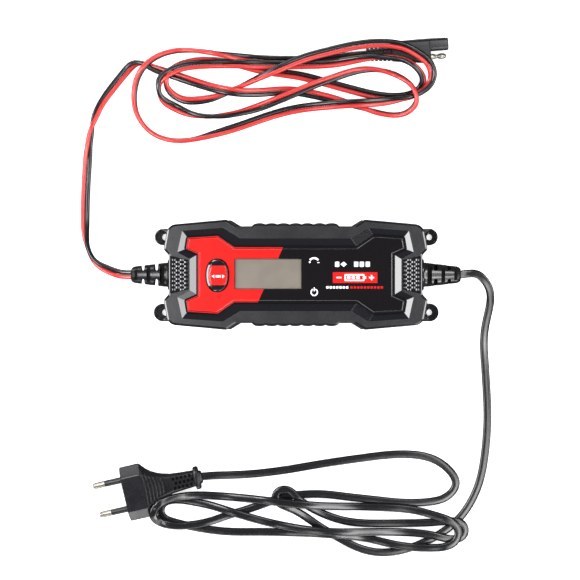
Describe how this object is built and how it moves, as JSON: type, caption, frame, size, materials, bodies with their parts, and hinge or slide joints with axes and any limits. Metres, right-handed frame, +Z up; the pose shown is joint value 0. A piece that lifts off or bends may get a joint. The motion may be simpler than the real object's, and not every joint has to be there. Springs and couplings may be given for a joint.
{
  "type": "car battery charger",
  "caption": "Sealed car battery charger: display, push button and screw lugs on a black case, a flat mains lead with plug, a red and black lead with DC connector.",
  "frame": {"origin": "middle of the housing's flat underside, on the surface that it lies on; the glands count, the free leads with their plugs do not", "axes": "+X along the housing to the mains lead's gland, +Y across it to the side where the DC connector lies, +Z up through the display face"},
  "size_m": [0.264, 0.3345, 0.042],
  "materials": {
    "aluminium": "satin",
    "black_abs": "fine texture",
    "circuit_board": "satin",
    "component_black": "satin",
    "component_blue": "sleeved",
    "display_glass": "satin",
    "ferrite": "matte",
    "flexible_pvc": "satin",
    "fuse_glass": "gloss",
    "gloss_black": "gloss",
    "label_print": "gloss print",
    "led_lens": "gloss",
    "nickel": "bright",
    "red_button": "gloss",
    "red_pvc": "satin",
    "seal_rubber": "matte",
    "steel": "satin",
    "white_diffuser": "satin",
    "winding_tape": "gloss",
    "window": "clear gloss"
  },
  "bodies": {
    "housing": {"ac_gland": "flexible_pvc", "ac_tail_live": "component_blue", "ac_tail_neutral": "component_black", "board_header": "component_black", "board_screw_1": "steel", "board_screw_2": "steel", "bottom_cover": "black_abs", "case_screw_1": "steel", "case_screw_2": "steel", "case_screw_3": "steel", "case_screw_4": "steel", "common_mode_choke": "ferrite", "dc_gland": "flexible_pvc", "dc_lead": "red_pvc", "dc_tail_negative": "component_black", "dc_tail_positive": "red_pvc", "display_pcb": "circuit_board", "display_screw_1": "steel", "display_screw_2": "steel", "front_gasket": "seal_rubber", "fuse": "fuse_glass", "heatsink": "aluminium", "input_capacitor": "component_blue", "label_panel": "label_print", "lcd_backlight": "white_diffuser", "lcd_module": "display_glass", "lcd_window": "window", "led_1": "led_lens", "led_2": "led_lens", "main_pcb": "circuit_board", "mains_lead": "flexible_pvc", "output_capacitor_1": "component_blue", "output_capacitor_2": "component_blue", "plug_body": "flexible_pvc", "plug_pin_1": "nickel", "plug_pin_2": "nickel", "plug_sleeve_1": "component_black", "plug_sleeve_2": "component_black", "power_transistor": "component_black", "rear_gasket": "seal_rubber", "sae_body": "flexible_pvc", "sae_pin": "nickel", "sae_socket_contact": "nickel", "switch_body": "component_black", "top_cover": "black_abs", "transformer_core": "ferrite", "transformer_winding": "winding_tape", "x_capacitor": "winding_tape"},
    "mode_button": {"mode_button_cap": "gloss_black", "mode_button_inlay": "red_button", "switch_plunger": "component_black"}
  },
  "joints": [
    {"name": "mode_button", "type": "slide", "parent": "housing", "child": "mode_button", "axis": [0, 0, -1], "range_m": [0, 0.0006], "stiffness_N_per_m": 200}
  ]
}
